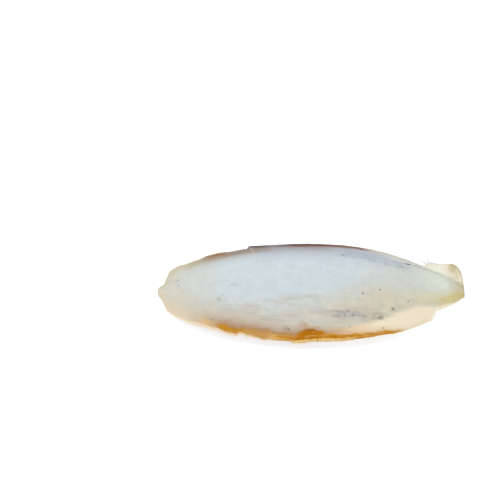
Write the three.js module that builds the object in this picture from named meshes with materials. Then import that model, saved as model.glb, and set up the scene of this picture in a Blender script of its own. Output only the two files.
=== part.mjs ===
// A cuttlebone, the inner shell of a cuttlefish, lying with its domed back up.
// Millimetres, +Z up. +X runs from the blunt front tip to the pointed rear tip.
// The origin is on the resting plane, under the middle of the shell.
//
// The shell is one piece. A chalky dome is bordered by a thin horny flange that droops
// outwards, and a chalky belly hangs below it. Sections across the length, each worked
// out from the sizes below, are lofted from tip to tip.
import * as THREE from "three";
import { LoftGeometry } from "three/addons/geometries/LoftGeometry.js";
import { mergeVertices } from "three/addons/utils/BufferGeometryUtils.js";

// Driving dimensions
const LENGTH = 160;
const HALF_WIDTH = 31.3; // from the spine to the edge of the flange, at the widest place
const EDGE_HEIGHT = 4.6; // the flange's edge above the resting plane
const CREST_RISE = 12.4; // the top of the dome above that edge
const FLANGE_WIDTH = 8;
const FLANGE_RISE = 4.5; // how far the flange climbs from its edge to the foot of the dome
const FLANGE_THICKNESS = 0.9;
const TIP_THICKNESS = 0.4;
const BELLY_DEPTH = 8.8; // below the foot of the dome, flattened where it meets the plane

// Plan outline: 0 at both tips and 1 at the widest place, blunt in front and pointed behind
const OUTLINE_SKEW = 0.99; // under 1 puts the widest place in the front half
const FRONT_BLUNTNESS = 0.42;
const REAR_BLUNTNESS = 0.578;
const BLUNTNESS_CHANGES = [0.55, 0.85]; // shares of the length
const STUB_HALF_WIDTH = 4.6; // the rear tip ends in a blunt stub
const STUB_LENGTH = 2.2;
const STUB_ROUNDNESS = 3;

// Profiles of the dome and the belly
const CREST_SKEW = 0.9;
const CREST_BLUNTNESS = 0.6;
const DOME_POWER = 2.4; // 2 is a parabola across the width, more is flatter on top
const BELLY_BLUNTNESS = 0.7;
const BELLY_POWER = 3;
const BELLY_ROUNDING = 0.75;
const FLANGE_SHARE = 0.4; // the most of the half-width that the flange takes, near the tips
const FLANGE_RISE_SHARE = 0.58; // the most of the crest's rise that it takes there
const LEAST_FLANGE = 0.6; // what is left of it where it is broken away
const BELLY_SHARE = 0.85; // the most of the half-width that the belly takes

const NEAR = -1; // the side towards -Y
const FAR = 1;

// Places where the brittle edge has broken back, in millimetres from the front tip.
// The last one is below 0 deep: a flake that stands out behind the step in the far edge.
const CHIPS = [
  { side: FAR, begins: [11, 14], ends: [46.2, 47.4], depth: 1.6 },
  { side: FAR, begins: [132, 138.6], ends: [139.2, 143], depth: 2.8 },
  { side: NEAR, begins: [41.5, 43], ends: [45.6, 47], depth: 1 },
  { side: NEAR, begins: [54, 58], ends: [69, 70], depth: 0.6 },
  { side: FAR, begins: [46.2, 47.4], ends: [48, 60], depth: -0.8 },
];

// The front tip, broken back to a small nose: the share of the half-width left on each side,
// from where it widens, and to where it meets the outline
const NOSES = [
  { side: FAR, keeps: 0.18, widens: [3.1, 6] },
  { side: NEAR, keeps: 0.7, widens: [1.8, 6] },
];

// The rear corner of the flange: snapped off on the near side, curled up in a lip on the far side
const SNAPPED_FROM = 141.6;
const SNAPPED_RUN = 3;
const SNAPPED_KEEPS = 0.8; // share of the half-width left behind the break
const LIP_FROM = 137.8;
const LIP_FULL = 143; // from here to its corner it is widest
const LIP_CORNER = 152; // where it starts to round off
const LIP_REACH = 16.3;
const LIP_ROUNDNESS = 3.2;
const LIP_RISE = 3.4; // where it is widest

// Mesh resolution
const STATIONS = 84;
const DOME_STEPS = 8; // from the spine to the foot of the dome
const FLANGE_STEPS = 3;
const BELLY_STEPS = 7;

const { lerp, smoothstep } = THREE.MathUtils;

// A curve over the length that is 0 at both tips and 1 at its widest place.
function spindle(share, skew, bluntness) {
  return Math.sin(Math.PI * share ** skew) ** bluntness;
}

// What is left of a width on the way round a blunt corner, from 1 before it to 0 at the rear tip.
function rounded(x, corner, roundness) {
  const past = Math.max(0, (x - corner) / (LENGTH - corner));
  return (1 - past ** roundness) ** (1 / roundness);
}

// Share of the half-width that is left on one side of the front tip.
function noseShare(x, side) {
  const nose = NOSES.find((one) => one.side === side);
  return lerp(nose.keeps, 1, smoothstep(x, ...nose.widens));
}

// Half-width of the whole shield, before anything broke off it.
function shieldReach(x) {
  const share = x / LENGTH;
  const pointed = smoothstep(share, ...BLUNTNESS_CHANGES);
  const reach = HALF_WIDTH * spindle(share, OUTLINE_SKEW, lerp(FRONT_BLUNTNESS, REAR_BLUNTNESS, pointed));
  if (x < LENGTH - STUB_LENGTH) return reach;
  return Math.max(reach, STUB_HALF_WIDTH * rounded(x, LENGTH - STUB_LENGTH, STUB_ROUNDNESS));
}

// Half-width of the dome, where the flange begins.
function domeReach(x) {
  const whole = shieldReach(x);
  return whole - Math.min(FLANGE_WIDTH, FLANGE_SHARE * whole);
}

function crestRise(x) {
  return CREST_RISE * spindle(x / LENGTH, CREST_SKEW, CREST_BLUNTNESS);
}

function domeFoot(x) {
  return Math.min(FLANGE_RISE, FLANGE_RISE_SHARE * crestRise(x));
}

// How far the edge has broken back at x on one side.
function chipDepth(x, side) {
  let depth = 0;
  for (const chip of CHIPS) {
    if (chip.side !== side) continue;
    const begun = smoothstep(x, ...chip.begins);
    const over = smoothstep(x, ...chip.ends);
    depth += chip.depth * begun * (1 - over);
  }
  return depth;
}

// The far rear corner, a rounded lip that ends at the rear tip.
function lipReach(x) {
  return LIP_REACH * rounded(x, LIP_CORNER, LIP_ROUNDNESS) * smoothstep(x, LIP_FROM, LIP_FULL);
}

// Half-width out to the edge as it is now, with its nose, its chips, its snapped corner and its lip.
function edgeReach(x, side) {
  const foot = domeReach(x);
  let reach = shieldReach(x) - chipDepth(x, side);
  if (side === NEAR) {
    reach *= lerp(1, SNAPPED_KEEPS, smoothstep(x, SNAPPED_FROM, SNAPPED_FROM + SNAPPED_RUN));
  } else {
    reach = Math.max(reach, lipReach(x));
  }
  return Math.max(reach, foot + LEAST_FLANGE * Math.min(1, foot)) * noseShare(x, side);
}

// Half-width of the belly: out to the foot of the dome, or less where the edge is nearer than that.
function bellyReach(x, side) {
  return Math.min(domeReach(x), BELLY_SHARE * edgeReach(x, side));
}

// Height of the upper face, at a distance from the spine.
function upperHeight(x, side, reach) {
  const foot = domeReach(x);
  const footHeight = EDGE_HEIGHT + domeFoot(x);
  if (reach <= foot) {
    const fall = (reach / foot) ** DOME_POWER;
    return footHeight + (crestRise(x) - domeFoot(x)) * (1 - fall);
  }
  const out = (reach - foot) / (edgeReach(x, side) - foot);
  const broken = Math.min(1, (edgeReach(x, side) - foot) / (shieldReach(x) - foot));
  const curl = side === FAR ? (LIP_RISE * lipReach(x)) / LIP_REACH : 0;
  return footHeight - domeFoot(x) * out * broken + curl * out ** 2;
}

// Height of the lower face: a thin flange all round, and the belly inside it.
function lowerHeight(x, side, reach) {
  const root = bellyReach(x, side);
  const skin = lerp(TIP_THICKNESS, FLANGE_THICKNESS, Math.min(1, shieldReach(x) / FLANGE_WIDTH));
  if (reach >= root) return upperHeight(x, side, reach) - skin;
  const depth = BELLY_DEPTH * spindle(x / LENGTH, OUTLINE_SKEW, BELLY_BLUNTNESS);
  const hang = (1 - (reach / root) ** BELLY_POWER) ** BELLY_ROUNDING;
  return Math.max(0, upperHeight(x, side, root) - skin - depth * hang);
}

// Distances from the spine at which one side of a section has points, spine first.
function reaches(x, side, innerSteps) {
  const root = bellyReach(x, side);
  const edge = edgeReach(x, side);
  const list = [];
  for (let i = 0; i <= innerSteps; i++) list.push((root * i) / innerSteps);
  for (let i = 1; i <= FLANGE_STEPS; i++) list.push(lerp(root, edge, i / FLANGE_STEPS));
  return list;
}

// One closed section: over the back from the far edge to the near edge, then back under the belly.
function section(x) {
  const along = x - LENGTH / 2;
  const point = (side, reach, height) => new THREE.Vector3(along, side * reach, height(x, side, reach));
  const over = (side) => reaches(x, side, DOME_STEPS).map((reach) => point(side, reach, upperHeight));
  const under = (side) => reaches(x, side, BELLY_STEPS).map((reach) => point(side, reach, lowerHeight));
  return [
    ...over(FAR).reverse(),
    ...over(NEAR).slice(1), // the spine is already there
    ...under(NEAR).reverse(),
    ...under(FAR).slice(1),
  ];
}

// Places along the length, closer together towards the tips, where the outline turns fastest.
function stations() {
  return Array.from({ length: STATIONS }, (_, i) => {
    const share = (1 - Math.cos((Math.PI * (i + 1)) / (STATIONS + 1))) / 2;
    return share * LENGTH;
  });
}

// Lofts the sections, and closes the loft to a point at each tip.
function cuttleboneGeometry() {
  const sections = stations().map(section);
  const tip = (end) => sections[0].map(() => new THREE.Vector3((end * LENGTH) / 2, 0, EDGE_HEIGHT));
  const loft = new LoftGeometry([tip(-1), ...sections, tip(1)]);
  const shape = new THREE.BufferGeometry();
  shape.setAttribute("position", loft.getAttribute("position"));
  shape.setIndex(loft.index);
  const skin = mergeVertices(shape);
  skin.setIndex(wholeFaces(skin.index.array));
  skin.computeVertexNormals();
  return skin;
}

// The faces with three separate corners, without those that shrank to a line at a tip.
function wholeFaces(corners) {
  const faces = [];
  for (let i = 0; i < corners.length; i += 3) {
    const [a, b, c] = corners.slice(i, i + 3);
    if (a !== b && b !== c && c !== a) faces.push(a, b, c);
  }
  return faces;
}

const chalk = new THREE.MeshStandardMaterial({ color: 0xdadcd2, roughness: 0.75, metalness: 0 });

const shell = new THREE.Mesh(cuttleboneGeometry(), chalk);
shell.name = "cuttlebone";

const cuttlebone = new THREE.Group();
cuttlebone.add(shell);

export default cuttlebone;
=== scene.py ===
"""Dresses a cuttlebone, a chalky shell with a horny margin, and lights it on a pale floor.

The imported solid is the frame. The shell that shows is built over it from the same few sizes, in
geometry node trees, and its finishes are shader trees. Everything is in metres, with +X from the blunt
front tip to the pointed rear tip, +Y across the shell and +Z up through its domed back.
"""

from __future__ import annotations

import logging
import math
from dataclasses import dataclass, fields
from enum import Enum
from typing import Any, Mapping, Sequence, Union

import bpy
from mathutils import Matrix, Vector

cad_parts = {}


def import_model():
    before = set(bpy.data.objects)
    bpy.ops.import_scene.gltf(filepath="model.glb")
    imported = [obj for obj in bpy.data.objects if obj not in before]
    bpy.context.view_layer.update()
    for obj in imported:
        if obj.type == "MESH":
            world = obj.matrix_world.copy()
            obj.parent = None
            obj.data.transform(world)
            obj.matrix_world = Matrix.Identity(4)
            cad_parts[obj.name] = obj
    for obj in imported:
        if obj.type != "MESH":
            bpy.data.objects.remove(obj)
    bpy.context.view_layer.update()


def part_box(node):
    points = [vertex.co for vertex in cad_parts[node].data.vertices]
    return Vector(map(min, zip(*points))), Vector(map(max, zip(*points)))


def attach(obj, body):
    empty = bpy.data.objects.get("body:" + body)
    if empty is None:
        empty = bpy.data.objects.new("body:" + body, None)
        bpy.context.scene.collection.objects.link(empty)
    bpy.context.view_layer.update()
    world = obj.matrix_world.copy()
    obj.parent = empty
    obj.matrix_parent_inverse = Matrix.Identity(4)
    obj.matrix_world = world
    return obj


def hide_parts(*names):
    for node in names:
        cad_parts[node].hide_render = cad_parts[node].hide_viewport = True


LOG = logging.getLogger("cuttlebone")

MM = 0.001
NODE = "cuttlebone"
BODY = "root"
STUDIO_LIGHT = 1.12  # how bright the studio shows a white surface
NOISE_GAIN = 5.0  # brings the usual range of a noise to -1 to 1
HALF_LENGTH = 80.0  # from the front tip to the middle of the shell, in millimetres
CRACK_ALONG = 47.6  # where the crack meets the far edge, in millimetres from the front tip
CRACK_LEAN = 0.27  # how far back the crack runs for each millimetre inwards

Number = Union[float, "Field"]
Colour = tuple[float, float, float, float]
Stops = Sequence[tuple[float, float]]


class Side(Enum):
    """The two sides of the spine, by the direction that each lies in along Y."""

    NEAR = -1
    FAR = 1


class Slot(Enum):
    """The record's material slots."""

    CHALK = "chalk"
    HORN = "horn"


def srgb(red: float, green: float, blue: float) -> Colour:
    """A colour as a screen shows it, made linear for a shader.

    Args:
        red: Red, from 0 to 255.
        green: Green, from 0 to 255.
        blue: Blue, from 0 to 255.

    Returns:
        The linear colour, with full alpha.
    """

    def linear(level: float) -> float:
        """One channel, from 0 to 255, made linear."""
        part = level / 255.0
        return part / 12.92 if part <= 0.04045 else ((part + 0.055) / 1.055) ** 2.4

    return (linear(red), linear(green), linear(blue), 1.0)


def seen(red: float, green: float, blue: float) -> Colour:
    """The colour of a surface that shows as given, from 0 to 255, under the studio's light."""
    linear = srgb(red, green, blue)
    return tuple(part / STUDIO_LIGHT for part in linear[:3]) + (1.0,)


class Field:
    """A node's output that takes part in Python expressions, each of which adds its nodes.

    Attributes:
        tree: The tree that holds the node.
        socket: The output.
    """

    def __init__(self, tree: Tree, socket: bpy.types.NodeSocket) -> None:
        """Wraps one output of a node in a tree."""
        self.tree = tree
        self.socket = socket

    def output(self, key: str | int) -> Field:
        """Another output of the same node."""
        return Field(self.tree, self.socket.node.outputs[key])

    def __add__(self, other: Number) -> Field:
        """The sum of two values."""
        return self.tree.math("ADD", self, other)

    def __radd__(self, other: Number) -> Field:
        """The sum of a number and this."""
        return self.tree.math("ADD", other, self)

    def __sub__(self, other: Number) -> Field:
        """This less another value."""
        return self.tree.math("SUBTRACT", self, other)

    def __rsub__(self, other: Number) -> Field:
        """A number less this."""
        return self.tree.math("SUBTRACT", other, self)

    def __mul__(self, other: Number) -> Field:
        """The product of two values."""
        return self.tree.math("MULTIPLY", self, other)

    def __rmul__(self, other: Number) -> Field:
        """The product of a number and this."""
        return self.tree.math("MULTIPLY", other, self)

    def __truediv__(self, other: Number) -> Field:
        """This over another value."""
        return self.tree.math("DIVIDE", self, other)

    def __rtruediv__(self, other: Number) -> Field:
        """A number over this."""
        return self.tree.math("DIVIDE", other, self)

    def __pow__(self, other: Number) -> Field:
        """This to a power."""
        return self.tree.math("POWER", self, other)

    def __neg__(self) -> Field:
        """This with its sign turned."""
        return self.tree.math("MULTIPLY", self, -1.0)

    def __mod__(self, other: Number) -> Field:
        """What is left of this after whole steps of another value."""
        return self.tree.math("MODULO", self, other)

    def __abs__(self) -> Field:
        """This without its sign."""
        return self.tree.math("ABSOLUTE", self)

    def __lt__(self, other: Number) -> Field:
        """1 where this is the lower of the two, and 0 elsewhere."""
        return self.tree.math("LESS_THAN", self, other)

    def __gt__(self, other: Number) -> Field:
        """1 where this is the higher of the two, and 0 elsewhere."""
        return self.tree.math("GREATER_THAN", self, other)

    def sine(self) -> Field:
        """The sine of an angle in radians."""
        return self.tree.math("SINE", self)

    def cosine(self) -> Field:
        """The cosine of an angle in radians."""
        return self.tree.math("COSINE", self)

    def up_to(self, limit: Number) -> Field:
        """This, or the limit where that is lower."""
        return self.tree.math("MINIMUM", self, limit)

    def down_to(self, limit: Number) -> Field:
        """This, or the limit where that is higher."""
        return self.tree.math("MAXIMUM", self, limit)

    def clamped(self) -> Field:
        """This, kept from 0 to 1."""
        return self.tree.node("ShaderNodeClamp", inputs={"Value": self})

    def span(self, start: Number, end: Number) -> Field:
        """How far this is from one value to another, from 0 to 1."""
        return ((self - start) / (end - start)).clamped()

    def eased(self, start: Number, end: Number) -> Field:
        """As span, with a soft start and end. It falls where start is above end."""
        return self.tree.node(
            "ShaderNodeMapRange",
            {"interpolation_type": "SMOOTHSTEP"},
            {"Value": self, "From Min": start, "From Max": end},
        )

    def window(self, start: float, end: float, run: float) -> Field:
        """1 between two values and 0 outside them, with soft ends.

        Args:
            start: Where it starts to rise.
            end: Where it is back at 0.
            run: The length of each soft end.

        Returns:
            The window.
        """
        return self.eased(start, start + run) * self.eased(end, end - run)

    def between(self, low: Number, high: Number) -> Field:
        """The value that lies this share of the way from low to high."""
        return low + (high - low) * self

    def profile(self, stops: Stops) -> Field:
        """A smooth curve over this value, through stops given as pairs of value and height.

        Args:
            stops: The pairs, in order. Heights are from 0 to 1.

        Returns:
            The curve's height.
        """
        first, last = stops[0][0], stops[-1][0]
        grey = [((at - first) / (last - first), (height,) * 3 + (1.0,)) for at, height in stops]
        return self.tree.node(
            "ShaderNodeValToRGB",
            {"interpolation": "EASE", "stops": grey},
            {"Fac": self.span(first, last)},
        )


class Tree:
    """Adds nodes to a node tree and joins them up.

    Attributes:
        data: The shader or geometry tree.
    """

    def __init__(self, data: bpy.types.NodeTree) -> None:
        """Wraps a node tree."""
        self.data = data

    def node(
        self,
        kind: str,
        settings: Mapping[str, Any] | None = None,
        inputs: Mapping[str | int, Any] | None = None,
        output: str | int = 0,
    ) -> Field:
        """Adds one node.

        Args:
            kind: The node's type.
            settings: Its properties, set before its inputs, with a ramp's stops as pairs under
                "stops" and its interpolation beside them.
            inputs: Values or fields for its sockets, by name or number.
            output: The output that is returned.

        Returns:
            The output as a field.
        """
        node = self.data.nodes.new(kind)
        for name, value in (settings or {}).items():
            self._set(node, name, value)
        for key, value in (inputs or {}).items():
            socket = node.inputs[key]
            if isinstance(value, Field):
                self.data.links.new(value.socket, socket)
            else:
                socket.default_value = value
        return Field(self, node.outputs[output] if node.outputs else None)

    def _set(self, node: bpy.types.Node, name: str, value: Any) -> None:
        """Sets one property of a node, or of its ramp.

        Args:
            node: The node.
            name: The property, or "stops" or "interpolation" for the ramp.
            value: What it is set to.
        """
        if name == "stops":
            elements = node.color_ramp.elements
            while len(elements) < len(value):
                elements.new(1.0)
            for element, (position, colour) in zip(elements, value):
                element.position = position
                element.color = colour
        elif name == "interpolation":
            node.color_ramp.interpolation = value
        else:
            setattr(node, name, value)

    def math(self, operation: str, *values: Number) -> Field:
        """Values through one Math node."""
        return self.node("ShaderNodeMath", {"operation": operation}, dict(enumerate(values)))

    def vector(self, x: Number, y: Number, z: Number) -> Field:
        """Three values as one vector."""
        return self.node("ShaderNodeCombineXYZ", inputs={"X": x, "Y": y, "Z": z})

    def stretched(self, place: Field, x: float, y: float, z: float) -> Field:
        """A place with each axis scaled."""
        scaled = {0: place, 1: (x, y, z)}
        return self.node("ShaderNodeVectorMath", {"operation": "MULTIPLY"}, scaled)

    def clouds(self, place: Field, grain: float, detail: float = 2.0) -> Field:
        """Cloudy noise, mostly from -1 to 1.

        Args:
            place: Where it is read, in metres.
            grain: About the size of one cloud, in metres.
            detail: How many finer layers it has.

        Returns:
            The noise.
        """
        inputs = {"Vector": place, "Scale": 1.0 / grain, "Detail": detail}
        return (self.node("ShaderNodeTexNoise", inputs=inputs) - 0.5) * NOISE_GAIN

    def mix(self, share: Number, low: Colour | Field, high: Colour | Field) -> Field:
        """A colour that is low where the share is 0 and high where it is 1."""
        return self.node("ShaderNodeMix", {"data_type": "RGBA"}, {0: share, 6: low, 7: high}, 2)


class ShapeTree(Tree):
    """A geometry tree whose named inputs are the fields of a dataclass of sizes.

    Attributes:
        sizes: The sizes.
        sockets: The inputs, by the name of the size.
        given: The node that brings the inputs in.
    """

    def __init__(self, name: str, sizes: ShellSizes | FibreSizes) -> None:
        """Makes an empty tree with one number input for each size.

        Args:
            name: The name of the tree.
            sizes: The sizes.
        """
        super().__init__(bpy.data.node_groups.new(name, "GeometryNodeTree"))
        self.sizes = sizes
        self.sockets = {}
        self._open("Geometry", "NodeSocketGeometry", "INPUT")
        for size in fields(sizes):
            self.sockets[size.name] = self._open(size.name, "NodeSocketFloat", "INPUT")
        self._open("Geometry", "NodeSocketGeometry", "OUTPUT")
        self.given = self.node("NodeGroupInput")

    def _open(self, name: str, kind: str, way: str) -> bpy.types.NodeTreeInterfaceSocket:
        """Adds one socket to the tree's own inputs or outputs."""
        return self.data.interface.new_socket(name, in_out=way, socket_type=kind)

    def size(self, name: str) -> Field:
        """A named input, as a field."""
        return self.given.output(name)

    def keep(self, geometry: Field, name: str, value: Field) -> Field:
        """Stores a field on the points of a geometry, under a name."""
        return self.node(
            "GeometryNodeStoreNamedAttribute",
            {"data_type": "FLOAT", "domain": "POINT"},
            {"Geometry": geometry, "Name": name, "Value": value},
        )

    def close(self, geometry: Field, material: bpy.types.Material) -> None:
        """Ends the tree: real geometry, with its material, goes to the output.

        Args:
            geometry: The geometry.
            material: The material.
        """
        real = self.node("GeometryNodeRealizeInstances", inputs={"Geometry": geometry})
        dressed = {"Geometry": real, "Material": material}
        made = self.node("GeometryNodeSetMaterial", inputs=dressed)
        self.node("NodeGroupOutput", inputs={"Geometry": made})

    def grow(self, name: str) -> bpy.types.Object:
        """Runs the tree and keeps its result as a plain mesh.

        Args:
            name: The piece's name.

        Returns:
            The piece, at the origin, with no modifier left.
        """
        start = bpy.data.meshes.new(name + "_start")
        piece = bpy.data.objects.new(name, start)
        bpy.context.scene.collection.objects.link(piece)
        modifier = piece.modifiers.new("shape", "NODES")
        modifier.node_group = self.data
        for size, socket in self.sockets.items():
            modifier[socket.identifier] = getattr(self.sizes, size)
        graph = bpy.context.evaluated_depsgraph_get()
        mesh = bpy.data.meshes.new_from_object(piece.evaluated_get(graph))
        piece.modifiers.remove(modifier)
        piece.data = mesh
        mesh.name = name
        bpy.data.meshes.remove(start)
        return piece


class ShaderTree(Tree):
    """The shader tree of a new material.

    Attributes:
        material: The material.
        place: A point's place on its piece.
        axes: That place as three numbers, X first.
    """

    def __init__(self, name: str) -> None:
        """Makes a material whose tree holds the place alone.

        Args:
            name: The name of the material.
        """
        self.material = bpy.data.materials.new(name)
        self.material.use_nodes = True
        super().__init__(self.material.node_tree)
        self.data.nodes.clear()
        self.place = self.node("ShaderNodeTexCoord", output="Object")
        self.axes = self.node("ShaderNodeSeparateXYZ", inputs={0: self.place})

    def stored(self, name: str) -> Field:
        """A field that the piece's geometry tree stored on its points."""
        return self.node("ShaderNodeAttribute", {"attribute_name": name}, output="Fac")

    def bump(self, height: Field, strength: float, depth: float) -> Field:
        """A normal that is tilted by a height.

        Args:
            height: The height, from 0 to 1.
            strength: How much of the tilt shows.
            depth: What a height of 1 stands for, in metres.

        Returns:
            The normal.
        """
        inputs = {"Height": height, "Strength": strength, "Distance": depth}
        return self.node("ShaderNodeBump", inputs=inputs)

    def principled(self, **inputs: Any) -> Field:
        """A Principled shader. Inputs are named as its sockets are, with _ for a space."""
        named = {name.replace("_", " "): value for name, value in inputs.items()}
        return self.node("ShaderNodeBsdfPrincipled", inputs=named)

    def close(self, shader: Field) -> bpy.types.Material:
        """Joins a shader to the output, and returns the material."""
        self.node("ShaderNodeOutputMaterial", inputs={"Surface": shader})
        return self.material


@dataclass(frozen=True)
class Chip:
    """A place where the brittle edge has broken back, in millimetres.

    Attributes:
        side: The side it is on.
        begins: From where to where it deepens, from the front tip.
        ends: From where to where it runs out.
        depth: How far the edge has gone back. Below 0, it stands out.
    """

    side: Side
    begins: tuple[float, float]
    ends: tuple[float, float]
    depth: float

    def depth_at(self, along: Field) -> Field:
        """How far the edge has gone back, in metres, at a distance from the front tip."""
        begun = along.eased(self.begins[0] * MM, self.begins[1] * MM)
        return begun * along.eased(self.ends[1] * MM, self.ends[0] * MM) * (self.depth * MM)


CHIPS = (
    Chip(Side.FAR, (11.0, 14.0), (46.2, 47.4), 1.6),
    Chip(Side.FAR, (132.0, 138.6), (139.2, 143.0), 2.8),
    Chip(Side.NEAR, (41.5, 43.0), (45.6, 47.0), 1.0),
    Chip(Side.NEAR, (54.0, 58.0), (69.0, 70.0), 0.6),
    Chip(Side.FAR, (46.2, 47.4), (48.0, 60.0), -0.8),
)

FLAKES = (  # too shallow for the solid
    Chip(Side.NEAR, (18.0, 26.0), (33.0, 39.0), 0.5),
    Chip(Side.NEAR, (45.6, 48.0), (52.0, 55.0), 0.5),
    Chip(Side.NEAR, (73.0, 81.0), (114.0, 124.0), 0.9),
    Chip(Side.FAR, (20.0, 26.0), (31.0, 38.0), -1.5),
    Chip(Side.FAR, (122.0, 129.0), (132.0, 138.0), 0.7),
)


@dataclass(frozen=True)
class Nose:
    """One side of the front tip, which is broken back to a small nose, in millimetres.

    Attributes:
        keeps: The share of the half-width that is left.
        widens: From where to where it widens to the whole, from the front tip.
    """

    keeps: float
    widens: tuple[float, float]

    def share_at(self, along: Field) -> Field:
        """The share of the half-width that is left at a distance, in metres, from the front tip."""
        return along.eased(self.widens[0] * MM, self.widens[1] * MM).between(self.keeps, 1.0)


NOSES = (Nose(0.7, (1.8, 6.0)), Nose(0.18, (3.1, 6.0)))  # near side, far side


@dataclass(frozen=True)
class ShellSizes:
    """The shell's sizes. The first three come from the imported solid.

    Attributes:
        length: From tip to tip.
        half_width: From the spine to the edge of the flange, at the widest place.
        height: The top of the dome above the resting plane.
        edge_height: The flange's edge above that plane.
        flange_width: From the foot of the dome to the edge.
        flange_rise: How far the flange climbs from its edge to the foot of the dome.
        front_flange_rise: The same in the front half, where no crease shows.
        flange_thickness: The flange's thickness at the foot of the dome.
        edge_thickness: Its thickness at the edge.
        belly_depth: The belly's depth below the foot of the dome.
        outline_skew: Under 1 puts the widest place in the front half.
        front_bluntness: The power that rounds the outline in front.
        rear_bluntness: The power that rounds it behind.
        stub_half_width: The half-width of the blunt stub that the rear tip ends in.
        stub_length: The stub's length.
        stub_roundness: The power that rounds its corners.
        crest_skew: As outline_skew, for the dome's crest.
        crest_bluntness: The power that rounds the crest.
        dome_power: 2 is a parabola across the width, and more is flatter on top.
        belly_bluntness: The power that rounds the belly along its length.
        belly_power: As dome_power, for the belly.
        belly_rounding: The power that fills the belly's flanks.
        flange_share: The most of the half-width that the flange takes, near the tips.
        flange_rise_share: The most of the crest's rise that it takes there.
        least_flange: What is left of it where it is broken away.
        belly_share: The most of the half-width that the belly takes.
        snap_start: Where the near side of the flange is snapped off, from the front tip.
        snap_run: The length of the break.
        snap_keeps: The share of the half-width that is left behind it.
        lip_start: Where the far side starts to widen into the lip, from the front tip.
        lip_full: Where the lip is widest.
        lip_corner: Where it starts to round off.
        lip_reach: Its distance from the spine where it is widest.
        lip_roundness: The power that rounds its corner.
        lip_rise: How far it curls up there.
        rear_swell: How much wider the dome is in front of the lip.
        groove_depth: The groove along the foot of the dome.
        film_step: The step where the horny film has flaked off the edge.
        raggedness: How far the edge wanders from its outline.
        crack_depth: The small crack in from the far edge.
        lumps: How uneven the dome is.
    """

    length: float
    half_width: float
    height: float
    edge_height: float = 4.6 * MM
    flange_width: float = 8.0 * MM
    flange_rise: float = 4.5 * MM
    front_flange_rise: float = 5.4 * MM
    flange_thickness: float = 0.9 * MM
    edge_thickness: float = 0.55 * MM
    belly_depth: float = 8.8 * MM
    outline_skew: float = 0.99
    front_bluntness: float = 0.42
    rear_bluntness: float = 0.578
    stub_half_width: float = 4.6 * MM
    stub_length: float = 2.2 * MM
    stub_roundness: float = 3.0
    crest_skew: float = 0.9
    crest_bluntness: float = 0.6
    dome_power: float = 2.4
    belly_bluntness: float = 0.7
    belly_power: float = 3.0
    belly_rounding: float = 0.75
    flange_share: float = 0.4
    flange_rise_share: float = 0.58
    least_flange: float = 0.6 * MM
    belly_share: float = 0.85
    snap_start: float = 141.6 * MM
    snap_run: float = 3.0 * MM
    snap_keeps: float = 0.8
    lip_start: float = 137.8 * MM
    lip_full: float = 143.0 * MM
    lip_corner: float = 152.0 * MM
    lip_reach: float = 16.3 * MM
    lip_roundness: float = 3.2
    lip_rise: float = 3.4 * MM
    rear_swell: float = 1.4 * MM
    groove_depth: float = 0.3 * MM
    film_step: float = 0.25 * MM
    raggedness: float = 0.2 * MM
    crack_depth: float = 0.3 * MM
    lumps: float = 0.07 * MM

    @classmethod
    def of_box(cls, low: Vector, high: Vector) -> ShellSizes:
        """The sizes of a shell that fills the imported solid's box."""
        return cls(high.x - low.x, (high.y - low.y) / 2.0, high.z)


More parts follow.
